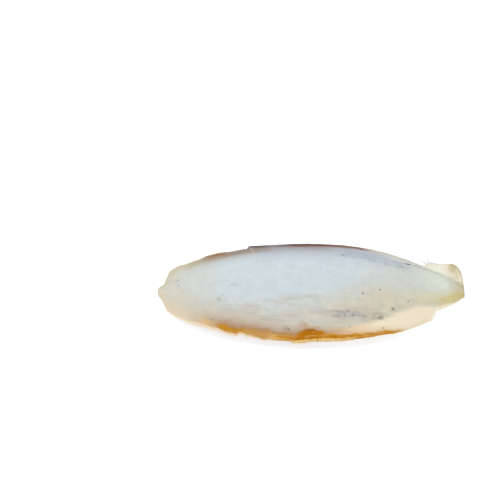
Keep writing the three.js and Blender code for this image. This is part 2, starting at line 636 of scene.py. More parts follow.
class ShellForm:
    """The rule of the shell's form: fields over the length, for each side of the spine.

    Attributes:
        along: The distance from the front tip.
        far: 1 on the far side of the spine and 0 on the near side.
        share: The distance from the front tip as a share of the length.
        whole: The half-width of the shield, before anything broke off it.
        foot: The half-width of the dome, where the flange begins.
        crest: The rise of the dome's top above the flange's edge.
        foot_rise: The rise of the dome's foot above that edge.
        lip: The reach of the lip on the far side of the rear tip.
        edge: The half-width out to the edge as it is now.
        root: The half-width of the belly, out to the foot of the dome or short of a nearer edge.
        thickest: The most that the shield's thickness may be there.
    """

    BLUNTNESS_CHANGES = (0.55, 0.85)  # shares of the length
    CREASE_BEGINS = (62 * MM, 100 * MM)  # from the front tip
    # where the dome is wider in front of the lip: metres from the front tip, and the share of rear_swell
    SWELL = ((0.122, 0.0), (0.138, 1.0), (0.146, 0.75), (0.153, 0.55), (0.159, 0.0))
    THICKEST = 0.9  # the most of the flange's width that its thickness takes
    LEAST_FOOT = 0.01 * MM  # keeps the dome from being divided by nothing at the tips

    def __init__(self, tree: ShapeTree, along: Field, far: Field) -> None:
        """Adds the fields to a geometry tree.

        Args:
            tree: The tree.
            along: The distance from the front tip.
            far: 1 on the far side of the spine and 0 on the near side.
        """
        self.tree = tree
        self.along = along
        self.far = far
        self.share = along / tree.size("length")
        pointed = self.share.eased(*self.BLUNTNESS_CHANGES)
        bluntness = pointed.between(tree.size("front_bluntness"), tree.size("rear_bluntness"))
        spindle = tree.size("half_width") * self.spindle("outline_skew", bluntness)
        stub_start = tree.size("length") - tree.size("stub_length")
        stub = tree.size("stub_half_width") * self.rounded(stub_start, tree.size("stub_roundness"))
        self.whole = spindle.down_to(stub * (along > stub_start))
        flange = (tree.size("flange_share") * self.whole).up_to(tree.size("flange_width"))
        self.foot = self.whole - flange + tree.size("rear_swell") * far * along.profile(self.SWELL)
        crest_rise = tree.size("height") - tree.size("edge_height")
        self.crest = crest_rise * self.spindle("crest_skew", tree.size("crest_bluntness"))
        creased = along.eased(*self.CREASE_BEGINS)
        rise = creased.between(tree.size("front_flange_rise"), tree.size("flange_rise"))
        self.foot_rise = (self.crest * tree.size("flange_rise_share")).up_to(rise)
        self.lip = self._lip()
        self.edge = self._edge()
        self.root = self.foot.up_to(self.edge * tree.size("belly_share"))
        self.thickest = (self.edge - self.root) * self.THICKEST

    def spindle(self, skew: str, bluntness: Field) -> Field:
        """A curve over the length that is 0 at both tips and 1 at its widest place."""
        angle = self.share ** self.tree.size(skew) * math.pi
        return angle.sine().down_to(0.0) ** bluntness

    def rounded(self, corner: Field, roundness: Field) -> Field:
        """What is left of a width on the way round a corner, from 1 before it to 0 at the rear tip."""
        past = self.along.span(corner, self.tree.size("length"))
        return (1.0 - past ** roundness).down_to(0.0) ** (1.0 / roundness)

    def _lip(self) -> Field:
        """Rounds the far rear corner, a lip that ends at the rear tip.

        Returns:
            The lip's reach from the spine.
        """
        size = self.tree.size
        corner = self.rounded(size("lip_corner"), size("lip_roundness"))
        return size("lip_reach") * corner * self.along.eased(size("lip_start"), size("lip_full"))

    def _ragged(self) -> Field:
        """Makes the edge wander in and out, in waves that differ on the two sides.

        Returns:
            How far it wanders in.
        """
        place = self.tree.vector(self.along, self.far * 0.1, 0.0)
        long_waves = self.tree.clouds(place, 9 * MM) * 0.6
        short_waves = self.tree.clouds(place, 2.6 * MM, 4.0) * 0.7
        front = self.along.eased(6 * MM, 24 * MM)
        rear = self.along.eased(140 * MM, 120 * MM).between(0.35, 1.0)
        return self.tree.size("raggedness") * (long_waves + short_waves) * front * rear

    def _edge(self) -> Field:
        """Breaks the outline back to the edge: its nose, its chips, its snapped corner and its lip.

        Returns:
            The half-width out to the edge.
        """
        size = self.tree.size
        near = 1.0 - self.far
        whole = self.whole - self._ragged()
        for chip in CHIPS + FLAKES:
            side = self.far if chip.side is Side.FAR else near
            whole = whole - chip.depth_at(self.along) * side
        snapped = near * self.along.eased(size("snap_start"), size("snap_start") + size("snap_run"))
        broken = whole * snapped.between(1.0, size("snap_keeps"))
        reach = broken.down_to(self.lip * self.far)
        least = size("least_flange") * (self.foot / MM).up_to(1.0)
        near_nose, far_nose = (nose.share_at(self.along) for nose in NOSES)
        return reach.down_to(self.foot + least) * self.far.between(near_nose, far_nose)

    def thickness(self, out: Field) -> Field:
        """The shield's thickness, which thins across the flange and closes at the tips.

        Args:
            out: The share of the way from the foot of the dome to the edge.

        Returns:
            The thickness.
        """
        size = self.tree.size
        full = out.between(size("flange_thickness"), size("edge_thickness"))
        return full.up_to(self.thickest)

    def arch(self, reach: Field) -> Field:
        """The rise of the dome above its foot, at a distance from the spine."""
        fall = (reach / self.foot.down_to(self.LEAST_FOOT)).up_to(1.0) ** self.tree.size("dome_power")
        return (self.crest - self.foot_rise) * (1.0 - fall)


class Ring(Enum):
    """How a section's points are shared out from the spine to the edge, as ends of its spans."""

    DOME_END = 0.56
    FLANGE_END = 0.9


@dataclass(frozen=True)
class Fineness:
    """How fine a lofted skin is.

    Attributes:
        rows: Points along the length.
        columns: Points around each section.
        tip_crowding: How much closer the rows stand towards the tips, from 0 to 1.
    """

    rows: int
    columns: int
    tip_crowding: float = 0.6


class Loft:
    """A closed skin of sections from tip to tip, as a grid that is still to be put in place.

    Attributes:
        tree: The tree that the grid is in.
        grid: The grid.
        along: Each point's distance from the front tip.
        out: Its share of the way round from the spine to the edge, from 0 to 1.
        upper: 1 over the back, and 0 under it.
        far: 1 on the far side of the spine, and 0 on the near side.
    """

    SEWING = 0.004 * MM  # points that are closer than this become one

    def __init__(self, tree: ShapeTree, fineness: Fineness) -> None:
        """Adds the grid and its fields to a geometry tree.

        Args:
            tree: The tree.
            fineness: How fine the grid is.
        """
        self.tree = tree
        count = {"Vertices X": fineness.rows, "Vertices Y": fineness.columns}
        self.grid = tree.node("GeometryNodeMeshGrid", inputs=count)
        uv = tree.node("ShaderNodeSeparateXYZ", inputs={0: self.grid.output("UV Map")})
        crowded = (1.0 - (uv * math.pi).cosine()) * 0.5
        share = uv + (crowded - uv) * fineness.tip_crowding
        around = uv.output("Y")
        self.along = share * tree.size("length")
        self.out = abs(1.0 - (around * 4.0) % 2.0)
        self.upper = around < 0.5
        self.far = abs(around - 0.5) > 0.25

    def placed(self, reach: Field, height: Field) -> Field:
        """The skin, with its points in place and its seam and tips closed.

        Args:
            reach: Each point's distance from the spine.
            height: Its height above the resting plane.

        Returns:
            The closed geometry, with its faces outward, shaded smooth.
        """
        tree = self.tree
        x = self.along - tree.size("length") * 0.5
        place = tree.vector(x, reach * (self.far * 2.0 - 1.0), height)
        moved = {"Geometry": self.grid, "Position": place}
        skin = tree.node("GeometryNodeSetPosition", inputs=moved)
        sewn = {"Geometry": skin, "Distance": self.SEWING}
        closed = tree.node("GeometryNodeMergeByDistance", inputs=sewn)
        outward = tree.node("GeometryNodeFlipFaces", inputs={"Mesh": closed})
        return tree.node("GeometryNodeSetShadeSmooth", inputs={"Geometry": outward})


class ShieldPlace:
    """Where a point of the shield lies, in millimetres, and the noises that break its finish up.

    Attributes:
        along: The distance from the front tip.
        run: The same, made ragged.
        across: The distance from the spine, above 0 on the far side.
        near: 1 on the near side and 0 on the far side, soft over the spine.
        far: 1 on the far side and 0 on the near side.
        inward: The distance in from the edge.
        within: The distance in from where the edge was before any of it broke off.
        past: The distance out past the foot of the dome, below 0 on the dome.
        broad: Noise with clouds over a centimetre wide.
        middling: Noise with clouds of a few millimetres.
        fine: Noise as fine as the chalk's grain.
        grit: Noise finer than the grain.
        streaks: Noise drawn out along the length.
        tint: Noise with clouds of half a centimetre, apart from the others.
        strands: Noise in long thin strands along the length.
        drags: Noise in long wide smears along the length.
    """

    def __init__(self, tree: ShaderTree) -> None:
        """Adds the places and noises to a shader tree.

        Args:
            tree: The tree.
        """
        self.along = tree.axes.output("X") / MM + HALF_LENGTH
        self.across = tree.axes.output("Y") / MM
        self.near = self.across.eased(1.0, -1.0)
        self.far = 1.0 - self.near
        self.inward = tree.stored("from_edge") / MM
        self.within = tree.stored("from_outline") / MM
        self.past = tree.stored("past_foot") / MM
        self.broad = tree.clouds(tree.place, 14 * MM, 3.0)
        self.middling = tree.clouds(tree.place, 4.5 * MM, 3.0)
        self.fine = tree.clouds(tree.place, 1.3 * MM, 3.0)
        self.grit = tree.clouds(tree.place, 0.55 * MM, 2.0)
        self.streaks = tree.clouds(tree.stretched(tree.place, 0.22, 1.0, 1.0), 1.5 * MM, 4.0)
        self.tint = tree.clouds(tree.stretched(tree.place, -0.6, -1.0, 1.0), 5.5 * MM, 2.0)
        self.strands = tree.clouds(tree.stretched(tree.place, 0.09, 1.0, 1.0), 0.75 * MM, 3.0)
        self.drags = tree.clouds(tree.stretched(tree.place, 0.13, 1.0, 1.0), 3.4 * MM, 3.0)
        self.run = self.along + self.middling * 1.8 + self.streaks * 1.4 + self.fine * 0.5

    def patch(self, along: float, across: float, length: float, width: float, soft: float = 0.5) -> Field:
        """An oval patch with a ragged edge, 1 inside it and 0 outside.

        Args:
            along: Its middle, from the front tip.
            across: Its middle, from the spine.
            length: Its size along the shell.
            width: Its size across the shell.
            soft: The share of it that its soft edge takes.

        Returns:
            The patch.
        """
        one = (self.along - along) / (length * 0.5)
        two = (self.across - across) / (width * 0.5)
        ragged = one * one + two * two + self.fine * 0.25 + self.grit * 0.35
        return ragged.eased(1.0 + soft, 1.0 - soft)


@dataclass(frozen=True)
class Speck:
    """A dark grain of dirt caught in the chalk, in millimetres.

    Attributes:
        along: Its place from the front tip.
        across: Its place from the spine.
        length: Its size along the shell.
        width: Its size across the shell.
        depth: How dark it is, from 0 to 1.
    """

    along: float
    across: float
    length: float
    width: float
    depth: float


SPECKS = (
    Speck(131.4, 15.2, 2.4, 1.2, 0.95),
    Speck(130.3, 15.4, 1.6, 1.0, 0.6),
    Speck(97.0, 18.6, 1.4, 1.1, 0.75),
    Speck(105.8, -7.9, 1.1, 1.0, 0.65),
    Speck(114.7, -5.3, 1.0, 1.1, 0.6),
    Speck(121.0, -14.5, 1.6, 1.4, 0.55),
    Speck(129.2, -10.1, 1.2, 1.4, 0.33),
    Speck(67.8, -25.4, 1.4, 1.2, 0.45),
    Speck(66.4, -25.0, 3.0, 2.2, 0.2),
    Speck(10.5, 2.5, 2.4, 1.8, 0.2),
    Speck(11.4, -0.9, 1.2, 1.2, 0.25),
    Speck(32.4, -10.5, 2.6, 2.0, 0.22),
    Speck(34.5, -8.6, 1.6, 2.0, 0.14),
    Speck(40.0, -3.0, 3.4, 3.0, 0.1),
    Speck(28.9, -19.6, 1.2, 0.9, 0.35),
    Speck(116.0, -23.3, 1.2, 0.9, 0.45),
    Speck(96.2, -18.8, 1.4, 1.3, 0.35),
    Speck(98.1, -16.8, 1.1, 1.2, 0.35),
    Speck(100.6, -18.7, 1.7, 1.2, 0.32),
    Speck(106.2, -18.9, 3.6, 1.0, 0.32),
    Speck(114.7, -18.9, 3.2, 1.6, 0.35),
    Speck(98.8, -23.7, 1.0, 0.9, 0.3),
    Speck(14.2, -5.0, 1.0, 1.0, 0.2),
    Speck(76.4, -23.6, 1.6, 1.2, 0.18),
)


@dataclass(frozen=True)
class ShieldFinish:
    """The shield's finish: chalk on the dome, turning to film and amber horn at its margin."""

    chalk_cool: Colour = seen(215, 227, 232)
    chalk_warm: Colour = seen(225, 217, 201)
    chalk_green: Colour = seen(218, 219, 207)
    chalk_pale: Colour = seen(234, 238, 222)
    chalk_olive: Colour = seen(226, 217, 189)
    chalk_shade: Colour = seen(168, 170, 164)
    chalk_pink: Colour = seen(204, 188, 176)
    rim_cream: Colour = seen(228, 213, 184)
    rim_olive: Colour = seen(206, 197, 166)
    # rim_bright: a painted highlight along the near edge.
    rim_bright: Colour = seen(252, 232, 202)
    film: Colour = seen(188, 154, 126)
    film_pale: Colour = seen(208, 189, 161)
    film_red: Colour = seen(194, 148, 98)
    amber: Colour = seen(206, 146, 48)
    amber_dark: Colour = seen(188, 116, 2)
    amber_brown: Colour = seen(160, 98, 34)
    amber_tan: Colour = seen(204, 160, 98)
    # amber_pale: pale wear on the horn, and painted glints.
    amber_pale: Colour = seen(230, 184, 112)
    amber_faint: Colour = seen(230, 194, 142)
    # lamina: the pale edge where the film has flaked, painted brighter as a highlight, and painted sparks.
    lamina_and_glint: Colour = seen(255, 222, 150)
    wing: Colour = seen(250, 237, 210)
    wing_blush: Colour = seen(242, 214, 172)
    wing_edge: Colour = seen(234, 219, 188)
    # snapped: near white, a painted highlight on the broken corner.
    snapped: Colour = seen(255, 250, 230)
    # far_tan, far_sand and far_shade tint the painted shade on the far flank.
    far_tan: Colour = seen(152, 132, 116)
    far_sand: Colour = seen(160, 136, 110)
    far_red: Colour = seen(150, 102, 62)
    far_dusk: Colour = seen(126, 117, 120)
    far_dark: Colour = seen(104, 84, 62)
    far_brown: Colour = seen(108, 75, 54)
    far_pale: Colour = seen(134, 94, 64)
    far_shade: Colour = seen(166, 153, 154)
    far_rim: Colour = seen(210, 201, 183)
    # groove: painted shade on the far flank, and grey dirt along the far crease.
    groove: Colour = seen(162, 170, 182)
    smudge: Colour = seen(150, 152, 158)
    smudge_brown: Colour = seen(166, 146, 130)
    crack: Colour = seen(216, 200, 178)
    speck: Colour = seen(84, 72, 66)
    tip_olive: Colour = seen(217, 207, 167)
    tip_mustard: Colour = seen(211, 191, 122)
    tip_straw: Colour = seen(221, 206, 148)
    tip_cream: Colour = seen(226, 217, 184)
    tip_brown: Colour = seen(182, 164, 118)
    lip_white: Colour = seen(250, 245, 228)
    lip_cream: Colour = seen(238, 224, 196)
    lip_olive: Colour = seen(203, 192, 142)
    # crease: painted shade along the far crease at the rear.
    crease: Colour = seen(176, 167, 150)
    chalk_roughness: float = 0.64
    chalk_gloss: float = 0.25
    horn_roughness: float = 0.45
    horn_gloss: float = 0.02

    def material(self) -> bpy.types.Material:
        """Makes the material, which reads the fields stored by the shield's tree.

        Returns:
            The material.
        """
        tree = ShaderTree("chalk_and_horn")
        paint = ShieldPaint(self, tree)
        at = paint.at
        chalk = tree.principled(
            Base_Color=paint.colour,
            Roughness=self.chalk_roughness,
            Specular_IOR_Level=self.chalk_gloss,
            Normal=tree.bump((at.fine + at.middling + at.grit * 0.4) * 0.2 + 0.5, 0.3, 0.12 * MM),
        )
        horny = tree.principled(
            Base_Color=paint.colour,
            Roughness=self.horn_roughness,
            Specular_IOR_Level=self.horn_gloss,
            Normal=tree.bump((at.streaks + at.fine * 0.5) * 0.2 + 0.5, 0.5, 0.2 * MM),
        )
        return tree.close(tree.node("ShaderNodeMixShader", inputs={0: paint.horn, 1: chalk, 2: horny}))


class ShieldPaint:
    """Lays the shield's colours over each other, each on its own share of the surface.

    Where a colour starts and ends is given in millimetres: from the front tip, from the spine, in from
    the edge or out past the foot of the dome. Noise makes the ends ragged.

    Attributes:
        tones: The finish that the colours are from.
        tree: The material's tree.
        at: The place on the shield.
        colour: The colour so far.
        horn: The share of the surface that is horn.
    """

    def __init__(self, tones: ShieldFinish, tree: ShaderTree) -> None:
        """Adds the colours to a shader tree.

        Args:
            tones: The finish that the colours are from.
            tree: The material's tree.
        """
        self.tones = tones
        self.tree = tree
        self.at = ShieldPlace(tree)
        self._dome()
        self._front_rim()
        self._wing()
        self._film()
        amber = self._near_horn()
        self._far_shade()
        self._far_front()
        brown = self._far_horn()
        self._crack()
        self._rear_tip()
        self._dirt()
        self.horn = (amber + brown).clamped()

    def _lay(self, share: Number, tone: Colour | Field) -> None:
        """Covers a share of the surface with a colour."""
        self.colour = self.tree.mix(share, self.colour, tone)

    def _dome(self) -> None:
        """The chalk of the dome: cool on top, beige low on the near flank, greenish towards the tips."""
        at, tones = self.at, self.tones
        flank = at.across + at.broad * 1.3 + at.middling * 0.5 + at.streaks * 0.8
        higher = at.along.profile((
            (4.0, 0.6), (24.0, 0.5), (42.0, 0.1), (58.0, 0.05), (72.0, 0.15), (88.0, 0.4), (104.0, 0.9),
        )) * 12.0
        low = (flank - higher).eased(-9.0, -25.0)
        self.colour = self.tree.mix(at.tint.span(-1.0, 2.0) * 0.3, tones.chalk_cool, tones.chalk_green)
        self._lay(low * 0.97, tones.chalk_warm)
        front = at.along.eased(46.0, 8.0) * (1.0 - low * 0.6)
        ends = (at.along - at.across * 1.1).eased(84.0, 128.0) * 0.85 + front
        self._lay((ends + at.broad * 0.12).clamped(), tones.chalk_green)
        lower = at.along.window(100.0, 150.0, 14.0) * flank.eased(0.0, -11.0)
        self._lay(lower * 0.85, tones.chalk_olive)
        pale = at.along.eased(132.0, 146.0) * at.along.eased(155.0, 148.0) * at.across.eased(-7.0, 1.0)
        self._lay(pale * 0.85, tones.chalk_pale)
        streaky = (at.drags * 0.7 + at.streaks * 0.2 + at.tint * 0.3 + 0.1).clamped()
        smears = at.along.window(20.0, 146.0, 24.0) * flank.window(-27.0, -6.0, 7.0)
        self._lay(smears * streaky * 0.8, tones.chalk_pink)
        mottle = at.middling * 0.18 + at.fine * 0.14 + at.grit * 0.08 + at.streaks * 0.08 + 0.3
        self._lay(mottle.clamped() * low.between(0.42, 0.62), tones.chalk_shade)

    def _front_rim(self) -> None:
        """The cream band round the front tip, wider and duller on the far side."""
        at, tones = self.at, self.tones
        ragged = at.inward + at.middling * 0.9 + at.fine * 0.4
        band = at.far.between(ragged.eased(8.0, 2.0), ragged.eased(10.0, 3.0))
        warm = at.near * at.along.eased(36.0, 12.0) * ragged.eased(20.0, 6.0)
        self._lay(warm * 0.45, tones.rim_cream)
        rim = self.tree.mix(at.far, tones.rim_cream, tones.rim_olive)
        self._lay(band * at.along.eased(36.0, 18.0) * 0.95, rim)
        tip = at.across.eased(-2.0, 2.0) * at.along.eased(14.0, 7.0)
        self._lay(tip * 0.45, tones.rim_olive)

    def _wing(self) -> None:
        """The cream flange on the near side, with a blush at its front end and a bright break behind,
        painted near white as a highlight on the broken edge.
        """
        at, tones = self.at, self.tones
        wider = at.along.profile(((98.0, 0.0), (130.0, 1.0), (146.0, 0.25))) * 2.5
        ragged = at.past + wider + at.middling * 0.5 + at.fine * 0.3
        wing = at.near * at.along.eased(80.0, 97.0) * ragged.eased(0.2, 2.8)
        blush = (at.along.eased(118.0, 94.0) + at.streaks * 0.2).clamped()
        self._lay(wing * 0.95, self.tree.mix(blush, tones.wing, tones.wing_blush))
        edge = at.near * at.along.window(120.0, 142.0, 6.0) * (at.inward + at.fine * 0.3).eased(2.8, 0.6)
        self._lay(edge * 0.6, tones.wing_edge)
        # The broken corner is painted near white as a highlight; the flange behind it is lightened too.
        strip = at.near * at.along.eased(144.0, 147.0) * at.past.eased(0.4, 2.0)
        snapped = at.near * at.along.window(140.8, 146.0, 1.2) * at.inward.eased(3.0, 0.6)
        self._lay((strip * 0.35 + snapped * 0.7).clamped(), tones.snapped)

    def _film(self) -> None:
        """The film inside the amber, tan where it thins out and redder towards the edge."""
        at, tones = self.at, self.tones
        ragged = at.within + at.streaks * 0.4 + at.middling * 0.35 + at.fine * 0.25
        strength = at.near * at.along.profile((
            (14.0, 0.0), (22.0, 0.25), (28.0, 0.55), (36.0, 1.0), (54.0, 1.0), (63.0, 0.65), (72.0, 0.85),
            (88.0, 0.9), (104.0, 0.0),
        ))
        fading = ragged + at.along.eased(50.0, 60.0) * 1.5
        thin = fading.profile((
            (0.0, 1.0), (6.0, 0.95), (7.6, 0.58), (9.4, 0.24), (12.0, 0.03), (14.0, 0.0),
        ))
        self._lay(thin * strength * 0.85, tones.film_pale)
        thick = ragged.profile(((0.0, 1.0), (3.8, 1.0), (5.2, 0.75), (6.6, 0.25), (8.0, 0.0)))
        self._lay(thick * strength, tones.film)
        flaring = at.along.window(71.0, 89.0, 6.0)
        red = at.near * at.along.window(20.0, 94.0, 6.0) * (ragged - flaring * 2.4).eased(5.4, 3.4)
        tone = self.tree.mix(at.along.eased(36.0, 24.0), tones.film_red, tones.amber_faint)
        strong = at.along.eased(36.0, 28.0).between(0.6, 0.85)
        self._lay(red * (strong + at.streaks * 0.5).clamped(), tone)

    def _near_horn(self) -> Field:
        """The amber horn along the near edge, with painted highlights: a bright line at the edge and a
        pale broken one where the film has flaked off.

        Returns:
            The share of the surface that it covers.
        """
        at, tones = self.at, self.tones
        width = at.along.profile((
            (27.0, 0.28), (30.0, 0.4), (32.0, 0.45), (36.0, 0.55), (40.0, 0.6), (44.0, 0.42), (48.0, 0.55),
            (52.0, 0.56), (56.0, 0.6), (60.0, 0.48), (64.0, 0.44), (69.0, 0.42), (71.5, 0.5), (74.0, 0.7),
            (77.0, 0.8), (80.0, 0.82), (83.0, 0.7), (86.0, 0.58), (89.0, 0.5), (95.0, 0.39), (100.0, 0.34),
            (106.0, 0.31), (112.0, 0.23), (118.0, 0.2), (123.0, 0.16), (127.0, 0.07), (130.0, 0.0),
        )) * 6.5
        rough = at.streaks * 0.45 + at.middling * 0.25 + at.fine * 0.3 + at.grit * 0.2
        close = at.inward + rough * at.along.eased(84.0, 100.0).between(1.0, 0.35)
        soft = at.along.eased(82.0, 94.0).between(0.45, 1.0)
        amber = at.near * close.eased(width + soft, width - 0.45)
        amber = amber * at.along.eased(30.0, 33.5) * at.along.eased(131.0, 124.0)
        faint = at.near * at.along.window(86.0, 128.0, 12.0) * close.eased(width + 3.4, width)
        self._lay(faint * 0.75, tones.amber_faint)
        self._lay(amber, self._amber(close))
        seam = at.near * at.along.window(34.0, 80.0, 6.0) * (close - width).window(-0.9, 1.3, 0.8)
        self._lay(seam * 0.2, tones.amber_brown)
        # The bright line at the edge is a painted highlight; this profile gives its width.
        bright_width = at.along.profile((
            (0.0, 0.3), (12.0, 0.3), (20.0, 0.85), (24.0, 0.7), (28.0, 0.6), (32.0, 0.75), (35.5, 0.3),
            (40.0, 0.6), (44.0, 0.5), (48.0, 0.4), (52.0, 0.2), (57.0, 0.05), (61.0, 0.0),
        )) * 1.7
        bright = at.near * (at.inward + at.fine * 0.25 + at.streaks * 0.2).eased(bright_width + 0.7, bright_width - 0.5)
        bright = bright * at.along.window(1.0, 60.0, 5.0)
        self._lay(bright * 0.85, tones.rim_bright)
        # The pale broken line where the film has flaked off, painted brighter as a highlight.
        self._lay(at.near * self._shine() * 0.76, tones.lamina_and_glint)
        return amber * (1.0 - bright)

    def _amber(self, close: Field) -> Field:
        """The colour of the amber horn, which is worn pale in places and has painted glints.

        Args:
            close: The distance in from the edge, made ragged.

        Returns:
            The colour.
        """
        at, tones, mix = self.at, self.tones, self.tree.mix
        core = at.along.window(70.0, 87.0, 4.0)
        dark = at.along.window(66.0, 122.0, 6.0) * 0.45 + core * 0.4 + at.strands * 0.5 + at.fine * 0.6
        horn = mix(dark.clamped(), tones.amber, tones.amber_dark)
        inner = at.along.window(58.0, 74.0, 4.0) * close.eased(1.4, 2.8)
        dull = at.along.window(43.0, 63.0, 4.0) * 0.75 + inner * 0.7
        horn = mix(dull.clamped(), horn, tones.amber_tan)
        worn = at.along.window(42.0, 68.0, 5.0) * 0.15 + at.along.window(56.5, 65.0, 2.5) * 0.4
        worn = worn + at.along.eased(81.0, 90.0) * close.eased(1.8, 3.2) * 0.8
        # Painted highlights: glints on the horn, laid together with the wear.
        glints = at.tint * 0.25 - at.strands * 0.5 + at.fine * 0.4 - 0.15 - core * 0.3
        horn = mix((worn + glints).clamped(), horn, tones.amber_pale)
        # Painted highlights: sparks of the pale edge colour on the horn.
        sparks = at.along.window(75.0, 83.0, 2.0) * (close + at.strands * 0.5).window(2.1, 2.9, 0.5)
        horn = mix(sparks * (0.4 + at.fine * 0.5).clamped(), horn, tones.lamina_and_glint)
        deep = (at.inward + at.middling * 0.6 + at.fine * 0.4).eased(3.6, 5.0)
        horn = mix(at.along.window(74.0, 85.0, 4.5) * deep * 0.75, horn, tones.amber_brown)
        return mix(at.along.eased(120.0, 130.0), horn, tones.amber_faint)

    def _shine(self) -> Field:
        """The pale broken line along the near edge, where the film has flaked off it, painted brighter as
        a highlight.

        Returns:
            The line, 1 where it is whole.
        """
        at = self.at
        gaps = at.along.window(81.8, 83.2, 0.6) * 0.8 + at.along.window(94.4, 95.8, 0.6) * 0.7
        broken = (at.middling + at.streaks * 0.5).eased(1.3, 0.4) * (1.0 - gaps).clamped()
        line = (at.inward + at.fine * 0.2 + at.middling * 0.1).window(-0.1, 1.3, 0.35)
        length = at.along.profile((
            (55.0, 0.0), (60.0, 0.4), (69.4, 0.25), (70.2, 1.0), (97.0, 1.0), (103.0, 0.2), (116.0, 0.15),
            (120.0, 0.0),
        ))
        return line * length * broken

    def _far_shade(self) -> None:
        """Painted shade on the far flank: darkest by the far edge and fading towards the spine, tan in
        front.
        """
        at, tones, mix = self.at, self.tones, self.tree.mix
        ragged = at.within + at.streaks * 0.7 + at.middling * 0.6 + at.fine * 0.3
        # Painted shade: the far flank of the dome darkening as it turns from the light.
        broad = at.far * at.along.window(44.0, 128.0, 16.0) * ragged.eased(23.0, 6.0)
        self._lay(broad * at.along.eased(84.0, 98.0).between(0.5, 0.38), tones.groove)
        # Painted shade, strongest near the far edge.
        inner = ragged - at.along.eased(58.0, 44.0) * 1.5
        shade = inner.profile((
            (0.0, 1.0), (4.2, 1.0), (5.6, 0.86), (7.2, 0.64), (9.0, 0.36), (12.0, 0.14), (16.0, 0.0),
        ))
        length = at.along.profile((
            (11.0, 0.0), (20.0, 0.45), (26.0, 0.9), (32.0, 1.0), (84.0, 1.0), (98.0, 0.45), (112.0, 0.3),
            (134.0, 0.0),
        ))
        tone = mix(at.along.eased(60.0, 44.0), tones.far_shade, tones.far_tan)
        tone = mix(at.along.eased(40.0, 32.0), tone, tones.far_sand)
        self._lay(at.far * shade * length, tone)
        # Painted shade: a deeper patch of it behind the step in the far edge.
        deeper_shade = at.far * at.along.window(45.0, 62.0, 5.0) * (ragged - at.middling * 0.6).eased(10.0, 6.5)
        self._lay(deeper_shade * 0.5, tones.far_tan)

    def _far_front(self) -> None:
        """The rusty patch on the front of the far flange, inside its pale edge."""
        at, tones = self.at, self.tones
        streak = (at.inward + at.streaks * 0.5 + at.middling * 0.4 + at.fine * 0.3).window(0.0, 5.2, 1.8)
        self._lay(at.far * at.run.window(24.0, 36.5, 5.0) * streak * 0.85, tones.far_red)
        sill = at.far * at.along.window(15.0, 45.0, 5.0) * (at.inward + at.fine * 0.2).eased(1.3, 0.3)
        self._lay(sill * 0.6, tones.rim_cream)

    def _far_horn(self) -> Field:
        """The brown horn along the far edge, with a pale rim behind it.

        Returns:
            The share of the surface that it covers.
        """
        at, tones, mix = self.at, self.tones, self.tree.mix
        wider = at.along.window(67.0, 82.0, 6.0) * 0.5 - at.along.eased(84.0, 98.0) * 0.3
        line = at.inward - wider + at.streaks * 0.4 + at.fine * 0.2
        fading = at.along.eased(46.4, 47.2) * at.run.eased(123.0, 104.0)
        fading = fading * (1.0 - at.run.window(54.0, 64.0, 4.0) * 0.35)
        thin = at.along.window(38.0, 48.0, 5.0) * at.inward.eased(1.2, 0.6) * 0.4
        brown = at.far * (fading * line.eased(4.5, 1.9) * 0.95 + thin).clamped()
        horn = mix(at.run.eased(58.0, 74.0), tones.far_dusk, tones.far_brown)
        horn = mix(at.run.window(47.0, 58.0, 4.0) * 0.7, horn, tones.far_dark)
        horn = mix(at.run.eased(82.0, 100.0), horn, tones.far_pale)
        self._lay(brown, horn)
        rim = at.far * at.run.window(107.0, 139.0, 8.0) * (at.inward + at.fine * 0.4).eased(5.0, 2.4)
        self._lay(rim * 0.85, tones.far_rim)
        return brown

    def _crack(self) -> None:
        """The pale line of the crack in the far flange."""
        at = self.at
        beside = (at.along - CRACK_ALONG - at.inward * CRACK_LEAN + at.fine * 0.15) / 0.4
        split = at.far * at.inward.window(0.6, 12.0, 4.0) / (1.0 + beside * beside)
        self._lay(split * 0.55, self.tones.crack)

    def _rear_tip(self) -> None:
        """The olive rear tip, mustard low on its near flank, the thin cream lip on its far side, and
        painted shade along the foot of the dome beside the lip.
        """
        at, tones, mix = self.at, self.tones, self.tree.mix
        lip = at.far * at.along.eased(138.5, 142.0) * at.past.eased(1.2, 3.4)
        cream = (at.along + at.middling * 1.5).eased(147.0, 154.0) * 0.9
        cream = mix((cream + at.streaks * 0.15).clamped(), tones.lip_white, tones.lip_cream)
        self._lay(lip * 0.95, cream)
        self._lay(at.patch(154.8, 14.4, 3.8, 5.6, 0.95) * 0.75, tones.lip_olive)
        end = (at.along + at.middling * 1.5 + at.fine * 0.5).eased(149.5, 157.5) * at.past.eased(3.0, 0.0)
        self._lay(end * 0.8, tones.tip_olive)
        low = at.past + at.fine * 0.6 + at.middling * 0.4 + at.streaks * 0.3
        above = at.near * at.along.window(131.0, 157.0, 6.0) * low.window(-7.5, 0.0, 2.5)
        self._lay(above * 0.6, tones.tip_cream)
        flank = at.near * at.along.eased(139.0, 150.0) * low.window(-3.8, 2.2, 2.0)
        mustard = (at.streaks * 0.6 + at.fine * 0.5 + 0.4).clamped()
        self._lay(flank * 0.9, mix(mustard, tones.tip_straw, tones.tip_mustard))
        # Painted shade: a darker line along the foot of the dome on the far side, at the rear.
        foot = (at.past + at.fine * 0.3).window(-0.9, 1.6, 1.0)
        self._lay(at.far * at.along.window(124.0, 153.0, 7.0) * foot * 0.5, tones.crease)
        worn = at.along.eased(153.0, 158.5) * (0.45 + at.middling * 0.5 + at.fine * 0.4).clamped()
        worn = worn * at.across.window(1.5, 9.0, 3.0).between(0.6, 1.0)
        rim = at.far * at.along.eased(152.0, 156.0) * (at.inward + at.fine * 0.3).eased(1.6, 0.5)
        self._lay((worn * 0.8 + rim * 0.45).clamped(), tones.tip_brown)

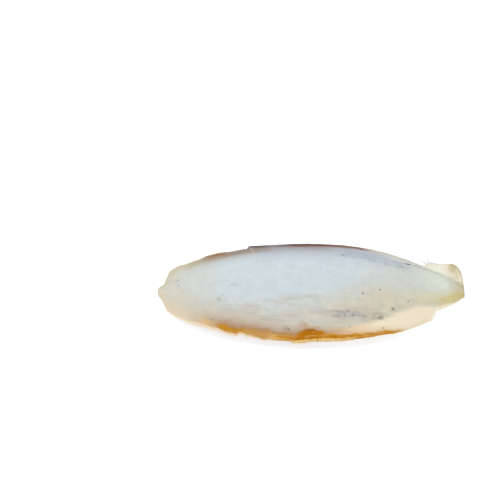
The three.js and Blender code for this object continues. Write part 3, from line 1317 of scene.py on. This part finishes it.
    def _dirt(self) -> None:
        """Grey smudges along both creases, and dark specks."""
        at, tones = self.at, self.tones
        cloudy = (at.streaks * 0.45 + at.middling * 0.3 + at.fine * 0.2 + 0.6).clamped()
        far = at.far * at.along.window(91.0, 136.0, 10.0) * at.past.window(-8.0, 2.8, 3.4)
        self._lay(far * cloudy * 0.66, tones.groove)
        peach = at.along.window(84.0, 114.0, 8.0) * at.across.window(-27.0, -9.0, 5.0)
        self._lay(peach * 0.14, tones.wing_blush)
        near = at.near * at.along.window(85.0, 121.0, 9.0) * at.across.window(-20.8, -16.0, 1.6)
        stain = self.tree.mix(at.along.eased(104.0, 112.0), tones.smudge, tones.smudge_brown)
        self._lay(near * cloudy * 0.58, stain)
        self._lay(at.patch(75.3, -23.5, 5.0, 2.4, 0.9) * 0.4, tones.film_red)
        self._lay(at.patch(55.0, 22.6, 5.5, 2.8, 0.9) * 0.4, tones.smudge)
        dark = None
        for speck in SPECKS:
            patch = at.patch(speck.along, speck.across, speck.length, speck.width, 0.8) * speck.depth
            dark = patch if dark is None else dark.down_to(patch)
        self._lay(dark, tones.speck)


@dataclass(frozen=True)
class BellyFinish:
    """The belly's finish: bright soft chalk, a little darker between its layers, as painted shade in the
    furrows.
    """

    chalk: Colour = srgb(226, 226, 218)
    # seam: the tone of the noise and of the painted shade in the furrows.
    seam: Colour = srgb(196, 190, 174)
    roughness: float = 0.85

    def material(self) -> bpy.types.Material:
        """Makes the material, which reads the furrows stored by the belly's tree.

        Returns:
            The material.
        """
        tree = ShaderTree("belly_chalk")
        broad = tree.clouds(tree.place, 12 * MM, 3.0)
        fine = tree.clouds(tree.place, 0.8 * MM, 3.0)
        # Painted shade in the furrows between the layers, mixed with noise in dirt.
        between = tree.stored("furrow") * (0.6 + broad * 0.6).clamped()
        dirt = (0.08 + broad * 0.12 + fine * 0.12 + between * 0.75).clamped()
        colour = tree.mix(dirt, self.chalk, self.seam)
        grain = tree.bump(fine * 0.3 + 0.5, 0.4, 0.15 * MM)
        return tree.close(tree.principled(Base_Color=colour, Roughness=self.roughness, Normal=grain))


@dataclass
class Shield:
    """The shield: a domed back with a thin flange round it, which thins to a rounded edge.

    Attributes:
        sizes: The shell's sizes.
        fineness: How fine its skin is.
        finish: What it looks like.
        groove_width: Half the width of the groove at the foot of the dome.
        groove_run: Where the groove starts and ends, from the front tip, and how long its ends fade.
        flaked_run: The same for the step where the film has flaked off the near edge.
        flaked_width: How far in from the edge the step has run out, and how far in it is whole.
        crack_width: Half the width of the crack in the far flange.
        crack_reach: How far in from the edge the crack has run out, and how far in it is whole.
    """

    sizes: ShellSizes
    fineness: Fineness = Fineness(rows=380, columns=233)
    finish: ShieldFinish = ShieldFinish()
    groove_width: float = 1.1 * MM
    groove_run: tuple[float, float, float] = (86 * MM, 146 * MM, 16 * MM)
    flaked_run: tuple[float, float, float] = (69.6 * MM, 101 * MM, 0.8 * MM)
    flaked_width: tuple[float, float] = (1.5 * MM, 1.1 * MM)
    crack_width: float = 0.3 * MM
    crack_reach: tuple[float, float] = (9 * MM, 7 * MM)

    def build(self) -> bpy.types.Object:
        """Makes the piece, with its finish.

        Returns:
            The piece, which rides on the body and stands for the solid.
        """
        tree = ShapeTree("shield", self.sizes)
        loft = Loft(tree, self.fineness)
        form = ShellForm(tree, loft.along, loft.far)
        dome = loft.out.span(0.0, Ring.DOME_END.value)
        flange = loft.out.span(Ring.DOME_END.value, Ring.FLANGE_END.value)
        turn = loft.out.span(Ring.FLANGE_END.value, 1.0) * (math.pi / 2.0)
        half = form.thickness(flange) * 0.5
        reach = form.root * dome + (form.edge - half - form.root) * flange + half * turn.sine()
        top = self._top(tree, form, flange, reach)
        over = top - half * (1.0 - turn.cosine())
        under = top - half * (1.0 + turn.cosine())
        height = loft.upper.between(under, over)
        skin = loft.placed(reach, height)
        skin = tree.keep(skin, "from_edge", form.edge - reach)
        skin = tree.keep(skin, "from_outline", form.whole - reach)
        skin = tree.keep(skin, "past_foot", reach - form.foot)
        tree.close(skin, self.finish.material())
        piece = tree.grow("shield")
        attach(piece, BODY)
        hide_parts(NODE)
        return piece

    def _top(self, tree: ShapeTree, form: ShellForm, flange: Field, reach: Field) -> Field:
        """The height of the upper face.

        Args:
            tree: The shield's tree.
            form: The shell's form.
            flange: The share of the way from the foot of the dome to the edge.
            reach: The distance from the spine.

        Returns:
            The height above the resting plane.
        """
        size = tree.size
        foot = size("edge_height") + form.foot_rise
        arch = form.arch(reach) + self._lumps(tree, form, reach)
        kept = (form.edge - form.foot).span(0.0, form.whole - form.foot)
        droop = form.foot_rise * flange * kept
        curl = size("lip_rise") * form.lip / size("lip_reach") * form.far * flange * flange
        from_foot = (reach - form.foot) / self.groove_width
        groove = size("groove_depth") / (1.0 + from_foot * from_foot)
        grooved = groove * form.along.window(*self.groove_run)
        inward = form.edge - reach
        flaked = (1.0 - form.far) * form.along.window(*self.flaked_run)
        step = size("film_step") * flaked * inward.eased(*self.flaked_width)
        beside = (form.along - CRACK_ALONG * MM - inward * CRACK_LEAN) / self.crack_width
        cracked = form.far * inward.eased(*self.crack_reach) / (1.0 + beside * beside)
        return foot + arch - droop + curl - grooved - step - cracked * size("crack_depth")

    def _lumps(self, tree: ShapeTree, form: ShellForm, reach: Field) -> Field:
        """The dome's slight unevenness, which fades towards the edge.

        Args:
            tree: The shield's tree.
            form: The shell's form.
            reach: The distance from the spine.

        Returns:
            The rise or fall.
        """
        place = tree.vector(form.along, reach * (form.far * 2.0 - 1.0), 0.0)
        broad = tree.clouds(place, 16 * MM)
        small = tree.clouds(place, 5 * MM) * 0.35
        inner = (form.edge - reach).eased(0.5 * MM, 9 * MM)
        return (broad + small) * tree.size("lumps") * inner


@dataclass
class Belly:
    """The belly: a bulge of layered chalk under the shield, flat where the shell rests.

    Attributes:
        sizes: The shell's sizes.
        fineness: How fine its skin is.
        finish: What it looks like.
        layer_pitch: From one layer's edge to the next.
        layer_depth: How deep the furrow between two layers is.
        layer_bow: How far forward a layer bows in the middle.
        layers_begin: The shares of the length from where to where the layers come in.
        layers_end: The shares from where to where they run out.
        edge_crowding: The power that crowds its points towards its edge.
        width_share: The share of its half-width that it fills, to stay inside the shield.
        roof_power: The power that keeps its roof up inside the dome.
    """

    sizes: ShellSizes
    fineness: Fineness = Fineness(rows=520, columns=121, tip_crowding=0.3)
    finish: BellyFinish = BellyFinish()
    layer_pitch: float = 1.6 * MM
    layer_depth: float = 0.16 * MM
    layer_bow: float = 9 * MM
    layers_begin: tuple[float, float] = (0.34, 0.46)
    layers_end: tuple[float, float] = (0.9, 0.99)
    edge_crowding: float = 1.4
    width_share: float = 0.99
    roof_power: float = 8.0

    def build(self) -> bpy.types.Object:
        """Makes the piece, with its finish.

        Returns:
            The piece, which rides on the body and stands for the solid.
        """
        tree = ShapeTree("belly", self.sizes)
        size = tree.size
        loft = Loft(tree, self.fineness)
        form = ShellForm(tree, loft.along, loft.far)
        out = 1.0 - (1.0 - loft.out) ** self.edge_crowding
        reach = form.root * out * self.width_share
        wall = size("flange_thickness").up_to(form.thickest)
        foot = size("edge_height") + form.foot_rise
        rim = foot + form.arch(form.root) - wall
        above = foot + form.arch(reach) - wall * 0.5 - rim
        roof = rim + above * (1.0 - out ** self.roof_power)
        depth = size("belly_depth") * form.spindle("outline_skew", size("belly_bluntness"))
        hang = (1.0 - out ** size("belly_power")) ** size("belly_rounding")
        bulge = (rim - depth * hang).down_to(0.0)
        furrow = self._furrow(form, out)
        floor = bulge + furrow * self.layer_depth
        skin = loft.placed(reach, loft.upper.between(floor, roof))
        tree.close(tree.keep(skin, "furrow", furrow), self.finish.material())
        piece = tree.grow("belly")
        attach(piece, BODY)
        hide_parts(NODE)
        return piece

    def _furrow(self, form: ShellForm, out: Field) -> Field:
        """Where the furrows between the layers are, which bow forward and cover the rear of the belly.

        Args:
            form: The shell's form.
            out: The share of the way from the spine to the belly's edge.

        Returns:
            The share of the full depth.
        """
        bowed = form.along - out * out * self.layer_bow
        wave = (bowed * (2.0 * math.pi / self.layer_pitch)).cosine() * 0.5 + 0.5
        covered = form.share.eased(*self.layers_begin) * form.share.eased(*reversed(self.layers_end))
        return wave * wave * covered * out.eased(1.0, 0.85)


@dataclass(frozen=True)
class FibreFinish:
    """The finish of the torn fibres: dry pale horn, browner in places."""

    pale: Colour = srgb(214, 196, 172)
    brown: Colour = srgb(178, 148, 118)
    roughness: float = 0.6
    gloss: float = 0.2

    def material(self) -> bpy.types.Material:
        """Makes the material.

        Returns:
            The material.
        """
        tree = ShaderTree("torn_horn")
        brown = (tree.clouds(tree.place, 2.5 * MM, 2.0) * 0.4 + 0.35).clamped()
        colour = tree.mix(brown, self.pale, self.brown)
        horn = tree.principled(
            Base_Color=colour, Roughness=self.roughness, Specular_IOR_Level=self.gloss
        )
        return tree.close(horn)


@dataclass(frozen=True)
class FibreSizes:
    """The sizes of a row of fibres.

    Attributes:
        start: Where along X the row of roots starts.
        pitch: From one root to the next, along X.
        across: How far from the spine the roots are.
        height: About how high they are, before each is put on the shield.
        jitter: How far a root strays from the row.
        back: How far a fibre of full length runs back along X.
        outward: How far it runs away from the spine.
        upward: How far it bows up on the way.
        radius: Its radius at the root.
        taper: The share of that radius that is lost by its end.
        shortest: The length of the shortest, as a share of full length.
        longest: The length of the longest.
        turn: How far one turns aside, in radians.
    """

    start: float = 57.2 * MM
    pitch: float = 0.45 * MM
    across: float = 16.2 * MM
    height: float = 8.0 * MM
    jitter: float = 0.7 * MM
    back: float = 6.4 * MM
    outward: float = 4.6 * MM
    upward: float = 1.6 * MM
    radius: float = 0.06 * MM
    taper: float = 0.7
    shortest: float = 0.4
    longest: float = 2.0
    turn: float = 0.45


class Seed(Enum):
    """The seeds of what varies from fibre to fibre."""

    ROOT = 2
    TURN = 5
    LENGTH = 9


@dataclass
class Fibres:
    """Fibres that stand out of the torn edge of the lip.

    Attributes:
        shield: The piece that they are rooted in.
        sizes: The sizes of their row.
        count: How many there are.
        sides: How many sides each has.
        steps: How many steps each is bent in.
        finish: What they look like.
    """

    shield: bpy.types.Object
    sizes: FibreSizes = FibreSizes()
    count: int = 22
    sides: int = 6
    steps: int = 10
    finish: FibreFinish = FibreFinish()

    def build(self) -> bpy.types.Object:
        """Makes the piece, with its finish.

        Returns:
            The piece, which rides on the body.
        """
        tree = ShapeTree("fibres", self.sizes)
        size = tree.size
        bend = {
            "Resolution": self.steps,
            "Start": (0.0, 0.0, 0.0),
            "Middle": tree.vector(size("back") * -0.6, size("outward") * 0.3, size("upward")),
            "End": tree.vector(size("back") * -1.0, size("outward"), size("upward") * 0.9),
        }
        turn = size("turn")
        turned = self._random(tree, tree.vector(turn * -0.5, turn * -0.5, -turn), Seed.TURN)
        length = self._random(tree, size("shortest"), Seed.LENGTH, size("longest"))
        placed = {
            "Points": self._roots(tree),
            "Instance": tree.node("GeometryNodeCurveQuadraticBezier", inputs=bend),
            "Rotation": turned,
            "Scale": length,
        }
        rows = tree.node("GeometryNodeInstanceOnPoints", inputs=placed)
        round_section = {"Resolution": self.sides, "Radius": size("radius")}
        tube = {
            "Curve": tree.node("GeometryNodeRealizeInstances", inputs={"Geometry": rows}),
            "Profile Curve": tree.node("GeometryNodeCurvePrimitiveCircle", inputs=round_section),
            "Scale": 1.0 - tree.node("GeometryNodeSplineParameter") * size("taper"),
            "Fill Caps": True,
        }
        tree.close(tree.node("GeometryNodeCurveToMesh", inputs=tube), self.finish.material())
        piece = tree.grow("fibres")
        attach(piece, BODY)
        return piece

    def _roots(self, tree: ShapeTree) -> Field:
        """Points in a straggling row, each on the nearest place of the shield.

        Args:
            tree: The fibres' tree.

        Returns:
            The points.
        """
        size = tree.size
        row = {
            "Count": self.count,
            "Start Location": tree.vector(size("start"), size("across"), size("height")),
            "Offset": tree.vector(size("pitch"), 0.0, 0.0),
        }
        line = tree.node("GeometryNodeMeshLine", inputs=row)
        stray = tree.vector(size("jitter") * -1.0, size("jitter") * -1.0, 0.0)
        strayed = {"Geometry": line, "Offset": self._random(tree, stray, Seed.ROOT)}
        strewn = tree.node("GeometryNodeSetPosition", inputs=strayed)
        shield = tree.node("GeometryNodeObjectInfo", inputs={"Object": self.shield}, output="Geometry")
        nearest = tree.node("GeometryNodeProximity", {"target_element": "FACES"}, {0: shield})
        return tree.node("GeometryNodeSetPosition", inputs={"Geometry": strewn, "Position": nearest})

    def _random(self, tree: ShapeTree, low: Field, seed: Seed, high: Field | None = None) -> Field:
        """A random value for each point: a vector either way of zero, or a number from low to high.

        Args:
            tree: The fibres' tree.
            low: The lowest value.
            seed: The seed.
            high: The highest value, for a number.

        Returns:
            The value.
        """
        kind = "FunctionNodeRandomValue"
        if high is None:
            inputs = {0: low, 1: tree.stretched(low, -1.0, -1.0, -1.0), 8: seed.value}
            return tree.node(kind, {"data_type": "FLOAT_VECTOR"}, inputs)
        return tree.node(kind, {"data_type": "FLOAT"}, {2: low, 3: high, 8: seed.value}, 1)


@dataclass(frozen=True)
class Lamp:
    """A soft square lamp that faces the shell.

    Attributes:
        name: Its name.
        place: Where it stands.
        side: The length of its side.
        power: Its power, in watts.
        colour: Its colour.
    """

    name: str
    place: tuple[float, float, float]
    side: float
    power: float
    colour: Colour

    def build(self) -> None:
        """Makes the lamp and turns it to the shell."""
        light = bpy.data.lights.new(self.name, "AREA")
        light.size = self.side
        light.energy = self.power
        light.color = self.colour[:3]
        lamp = bpy.data.objects.new(self.name, light)
        lamp.location = self.place
        lamp.rotation_euler = (-Vector(self.place)).to_track_quat("-Z", "Y").to_euler()
        bpy.context.scene.collection.objects.link(lamp)


LAMPS = (
    Lamp("key", (-0.35, 0.55, 0.9), 0.9, 7.0, srgb(246, 250, 255)),
    Lamp("fill", (0.3, -0.9, 0.8), 1.0, 4.6, srgb(255, 251, 244)),
)


@dataclass
class Stage:
    """The floor, the light and the camera.

    Attributes:
        sizes: The shell's sizes.
        lens: The camera's lens, in millimetres.
        sensor: Its sensor's width, in millimetres.
        image: The picture's side, in pixels.
        middle: The pixel where the middle of the shell shows.
        pixel: What one pixel spans there.
        elevation: How steeply the camera looks down, in degrees.
        roll: How far the camera leans, in degrees.
        floor_half: Half the side of the floor.
        floor_tones: The two colours that the floor is clouded with.
        floor_glow: How strongly the floor glows.
        sky_tone: The colour of that glow, and of the light from all round.
        sky_strength: How strong the light from all round is.
    """

    sizes: ShellSizes
    lens: float = 80.0
    sensor: float = 36.0
    image: int = 500
    middle: tuple[float, float] = (311.0, 291.7)
    pixel: float = 0.521 * MM
    elevation: float = 53.6
    roll: float = -0.37
    floor_half: float = 3.0
    floor_tones: tuple[Colour, Colour] = (srgb(235, 241, 251), srgb(239, 244, 253))
    floor_glow: float = 0.36
    sky_tone: Colour = srgb(252, 253, 255)
    sky_strength: float = 0.58

    def build(self) -> None:
        """Makes the floor, the lights and the camera."""
        self._floor()
        self._world()
        for lamp in LAMPS:
            lamp.build()
        self._camera()
        bpy.context.scene.view_settings.view_transform = "Standard"

    def _floor(self) -> None:
        """A wide pale floor that glows a little, as a light table does."""
        half = self.floor_half
        corners = [(-half, -half, 0.0), (half, -half, 0.0), (half, half, 0.0), (-half, half, 0.0)]
        mesh = bpy.data.meshes.new("floor")
        mesh.from_pydata(corners, [], [(0, 1, 2, 3)])
        floor = bpy.data.objects.new("floor", mesh)
        bpy.context.scene.collection.objects.link(floor)
        tree = ShaderTree("pale_floor")
        mottle = tree.clouds(tree.place, 0.3, 2.0)
        colour = tree.mix((mottle * 0.2 + 0.5).clamped(), *self.floor_tones)
        pale = tree.principled(
            Base_Color=colour,
            Roughness=0.9,
            Emission_Color=self.sky_tone,
            Emission_Strength=self.floor_glow,
        )
        mesh.materials.append(tree.close(pale))

    def _world(self) -> None:
        """Even light from all round."""
        world = bpy.data.worlds.new("studio")
        bpy.context.scene.world = world
        world.use_nodes = True
        sky = world.node_tree.nodes["Background"]
        sky.inputs["Color"].default_value = self.sky_tone
        sky.inputs["Strength"].default_value = self.sky_strength

    def _camera(self) -> None:
        """A camera that sees the shell where the picture has it."""
        steep = math.radians(self.elevation)
        ahead = Vector((0.0, math.cos(steep), -math.sin(steep)))
        lean = Matrix.Rotation(math.radians(self.roll), 3, ahead)
        right = lean @ Vector((1.0, 0.0, 0.0))
        up = right.cross(ahead)
        distance = self.pixel * self.image * self.lens / self.sensor
        centre = self.image / 2.0
        beside = (self.middle[0] - centre) * self.pixel
        below = (self.middle[1] - centre) * self.pixel
        target = Vector((0.0, 0.0, self.sizes.edge_height))
        data = bpy.data.cameras.new("camera")
        data.lens = self.lens
        data.sensor_width = self.sensor
        camera = bpy.data.objects.new("camera", data)
        camera.matrix_world = Matrix.Translation(
            target - ahead * distance - right * beside + up * below
        ) @ Matrix((right, up, -ahead)).transposed().to_4x4()
        bpy.context.scene.collection.objects.link(camera)
        bpy.context.scene.camera = camera


def main() -> None:
    """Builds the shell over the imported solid, and the stage around it."""
    logging.basicConfig(level=logging.INFO)
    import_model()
    sizes = ShellSizes.of_box(*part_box(NODE))
    shield = Shield(sizes).build()
    for piece in (shield, Belly(sizes).build(), Fibres(shield).build()):
        LOG.info("%s: %d faces", piece.name, len(piece.data.polygons))
    Stage(sizes).build()


if __name__ == "__main__":
    main()
